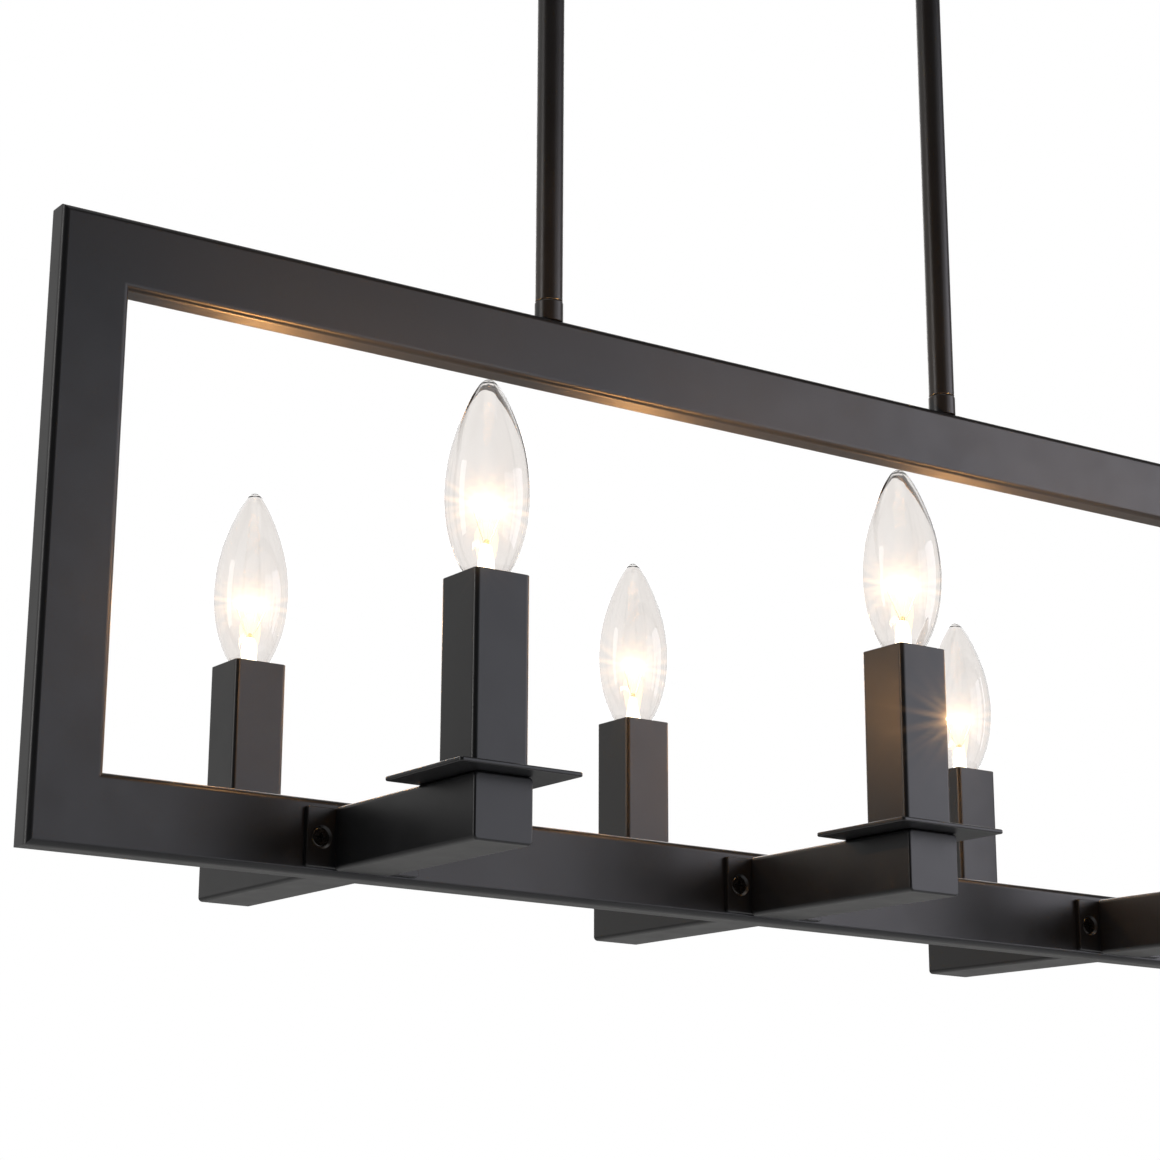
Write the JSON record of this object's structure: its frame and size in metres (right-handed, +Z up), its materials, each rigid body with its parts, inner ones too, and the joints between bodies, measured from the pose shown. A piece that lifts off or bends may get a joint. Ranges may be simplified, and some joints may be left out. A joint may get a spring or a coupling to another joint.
{
  "type": "linear island pendant",
  "caption": "Linear island pendant: open rectangular black tube frame with cross-arms that carry candle lamps in square sleeves, on stems from a swivelling ceiling canopy.",
  "frame": {"origin": "centre of the ceiling crossbar's top face, on the ceiling plane", "axes": "+Z up into the ceiling, +X along the frame, -Y towards the front lamps"},
  "size_m": [0.732, 0.256, 0.7864],
  "materials": {
    "black_coat": "satin black powder coat",
    "black_oxide": "blackened steel",
    "zinc_steel": "zinc plated",
    "green_paint": "green zinc",
    "black_wire": "wire insulation",
    "wire_nut_plastic": "moulded",
    "phenolic": "moulded phenolic",
    "brass_contact": "formed",
    "clear_glass": "clear, polished",
    "nickel_base": "nickel plated, rolled thread",
    "hot_filament": "lit filament on its glass mount",
    "lamp_tip": "black glass insulator with solder contact"
  },
  "bodies": {
    "ceiling": {"ceiling_bracket": "zinc_steel", "canopy_cover": "black_coat", "canopy_studs": "zinc_steel", "stud_nuts": "zinc_steel", "canopy_cap_nuts": "black_coat", "ground_screw": "green_paint", "swivel_cups": "black_coat", "swivel_nipples": "black_coat", "swivel_locknuts": "zinc_steel", "canopy_leads": "black_wire", "wire_nuts": "wire_nut_plastic"},
    "pendant": {"swivel_balls": "black_coat", "stems_upper": "black_coat", "stems_lower": "black_coat", "stem_couplers": "zinc_steel", "stem_collars": "black_coat", "frame_top_rail": "black_coat", "frame_bottom_rail": "black_coat", "frame_left_upright": "black_coat", "frame_right_upright": "black_coat", "arm_front_left": "black_coat", "arm_front_middle": "black_coat", "arm_front_right": "black_coat", "arm_back_left": "black_coat", "arm_back_middle": "black_coat", "arm_back_right": "black_coat", "flange_screws": "black_oxide", "drip_pans": "black_coat", "candle_sleeves": "black_coat", "socket_bodies": "phenolic", "socket_shells": "brass_contact", "socket_contacts": "brass_contact", "socket_brackets": "zinc_steel", "socket_nipples": "zinc_steel", "socket_nuts": "zinc_steel", "wiring_harness": "black_wire"},
    "bulb_front_left_contact": {"bulb_front_left_tip": "lamp_tip"},
    "bulb_front_left": {"bulb_front_left_glass": "clear_glass", "bulb_front_left_base": "nickel_base", "bulb_front_left_filament": "hot_filament"},
    "bulb_front_middle_contact": {"bulb_front_middle_tip": "lamp_tip"},
    "bulb_front_middle": {"bulb_front_middle_glass": "clear_glass", "bulb_front_middle_base": "nickel_base", "bulb_front_middle_filament": "hot_filament"},
    "bulb_front_right_contact": {"bulb_front_right_tip": "lamp_tip"},
    "bulb_front_right": {"bulb_front_right_glass": "clear_glass", "bulb_front_right_base": "nickel_base", "bulb_front_right_filament": "hot_filament"},
    "bulb_back_left_contact": {"bulb_back_left_tip": "lamp_tip"},
    "bulb_back_left": {"bulb_back_left_glass": "clear_glass", "bulb_back_left_base": "nickel_base", "bulb_back_left_filament": "hot_filament"},
    "bulb_back_middle_contact": {"bulb_back_middle_tip": "lamp_tip"},
    "bulb_back_middle": {"bulb_back_middle_glass": "clear_glass", "bulb_back_middle_base": "nickel_base", "bulb_back_middle_filament": "hot_filament"},
    "bulb_back_right_contact": {"bulb_back_right_tip": "lamp_tip"},
    "bulb_back_right": {"bulb_back_right_glass": "clear_glass", "bulb_back_right_base": "nickel_base", "bulb_back_right_filament": "hot_filament"}
  },
  "joints": [
    {"name": "sway", "type": "hinge", "parent": "ceiling", "child": "pendant", "pos_m": [0, 0, -0.04], "axis": [1, 0, 0], "range_deg": [-20, 20]},
    {"name": "bulb_front_left_lift", "type": "slide", "parent": "pendant", "child": "bulb_front_left_contact", "axis": [0, 0, 1], "range_m": [0, 0.01016]},
    {"name": "bulb_front_left_turn", "type": "hinge", "parent": "bulb_front_left_contact", "child": "bulb_front_left", "pos_m": [-0.2166, -0.1, -0.6769], "axis": [0, 0, 1], "range_deg": [0, 1440]},
    {"name": "bulb_front_middle_lift", "type": "slide", "parent": "pendant", "child": "bulb_front_middle_contact", "axis": [0, 0, 1], "range_m": [0, 0.01016]},
    {"name": "bulb_front_middle_turn", "type": "hinge", "parent": "bulb_front_middle_contact", "child": "bulb_front_middle", "pos_m": [0, -0.1, -0.6769], "axis": [0, 0, 1], "range_deg": [0, 1440]},
    {"name": "bulb_front_right_lift", "type": "slide", "parent": "pendant", "child": "bulb_front_right_contact", "axis": [0, 0, 1], "range_m": [0, 0.01016]},
    {"name": "bulb_front_right_turn", "type": "hinge", "parent": "bulb_front_right_contact", "child": "bulb_front_right", "pos_m": [0.2166, -0.1, -0.6769], "axis": [0, 0, 1], "range_deg": [0, 1440]},
    {"name": "bulb_back_left_lift", "type": "slide", "parent": "pendant", "child": "bulb_back_left_contact", "axis": [0, 0, 1], "range_m": [0, 0.01016]},
    {"name": "bulb_back_left_turn", "type": "hinge", "parent": "bulb_back_left_contact", "child": "bulb_back_left", "pos_m": [-0.2166, 0.1, -0.6769], "axis": [0, 0, 1], "range_deg": [0, 1440]},
    {"name": "bulb_back_middle_lift", "type": "slide", "parent": "pendant", "child": "bulb_back_middle_contact", "axis": [0, 0, 1], "range_m": [0, 0.01016]},
    {"name": "bulb_back_middle_turn", "type": "hinge", "parent": "bulb_back_middle_contact", "child": "bulb_back_middle", "pos_m": [0, 0.1, -0.6769], "axis": [0, 0, 1], "range_deg": [0, 1440]},
    {"name": "bulb_back_right_lift", "type": "slide", "parent": "pendant", "child": "bulb_back_right_contact", "axis": [0, 0, 1], "range_m": [0, 0.01016]},
    {"name": "bulb_back_right_turn", "type": "hinge", "parent": "bulb_back_right_contact", "child": "bulb_back_right", "pos_m": [0.2166, 0.1, -0.6769], "axis": [0, 0, 1], "range_deg": [0, 1440]}
  ],
  "couplings": [
    {"joint": "bulb_front_left_turn", "follows": "bulb_front_left_lift", "rad_per_m": 2473.7},
    {"joint": "bulb_front_middle_turn", "follows": "bulb_front_middle_lift", "rad_per_m": 2473.7},
    {"joint": "bulb_front_right_turn", "follows": "bulb_front_right_lift", "rad_per_m": 2473.7},
    {"joint": "bulb_back_left_turn", "follows": "bulb_back_left_lift", "rad_per_m": 2473.7},
    {"joint": "bulb_back_middle_turn", "follows": "bulb_back_middle_lift", "rad_per_m": 2473.7},
    {"joint": "bulb_back_right_turn", "follows": "bulb_back_right_lift", "rad_per_m": 2473.7}
  ]
}
